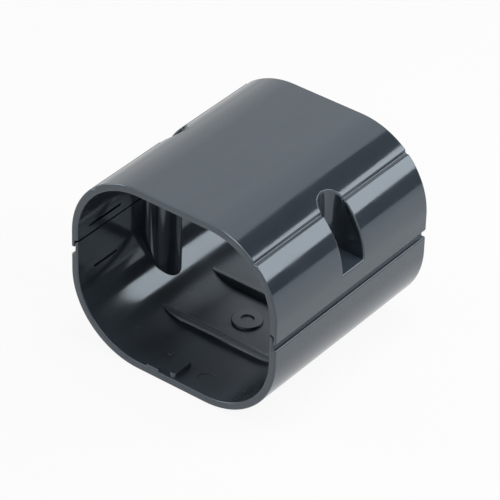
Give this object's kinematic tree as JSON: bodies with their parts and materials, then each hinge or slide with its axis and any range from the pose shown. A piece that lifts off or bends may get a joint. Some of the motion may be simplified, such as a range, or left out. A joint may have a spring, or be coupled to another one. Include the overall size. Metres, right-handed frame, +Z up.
{
  "type": "duct joining sleeve",
  "caption": "Two-piece snap-together union sleeve for rounded rectangular duct, with side screw pockets, a stepped seam and duct stops on its floor.",
  "frame": {"origin": "middle of the flat underside", "axes": "+Y along the duct, +X across it, +Z up from the underside to the cover"},
  "size_m": [0.078, 0.076, 0.066],
  "materials": {
    "base_plastic": "gloss",
    "cover_plastic": "gloss"
  },
  "bodies": {
    "root": {"base": "base_plastic", "cover": "cover_plastic"}
  },
  "joints": []
}
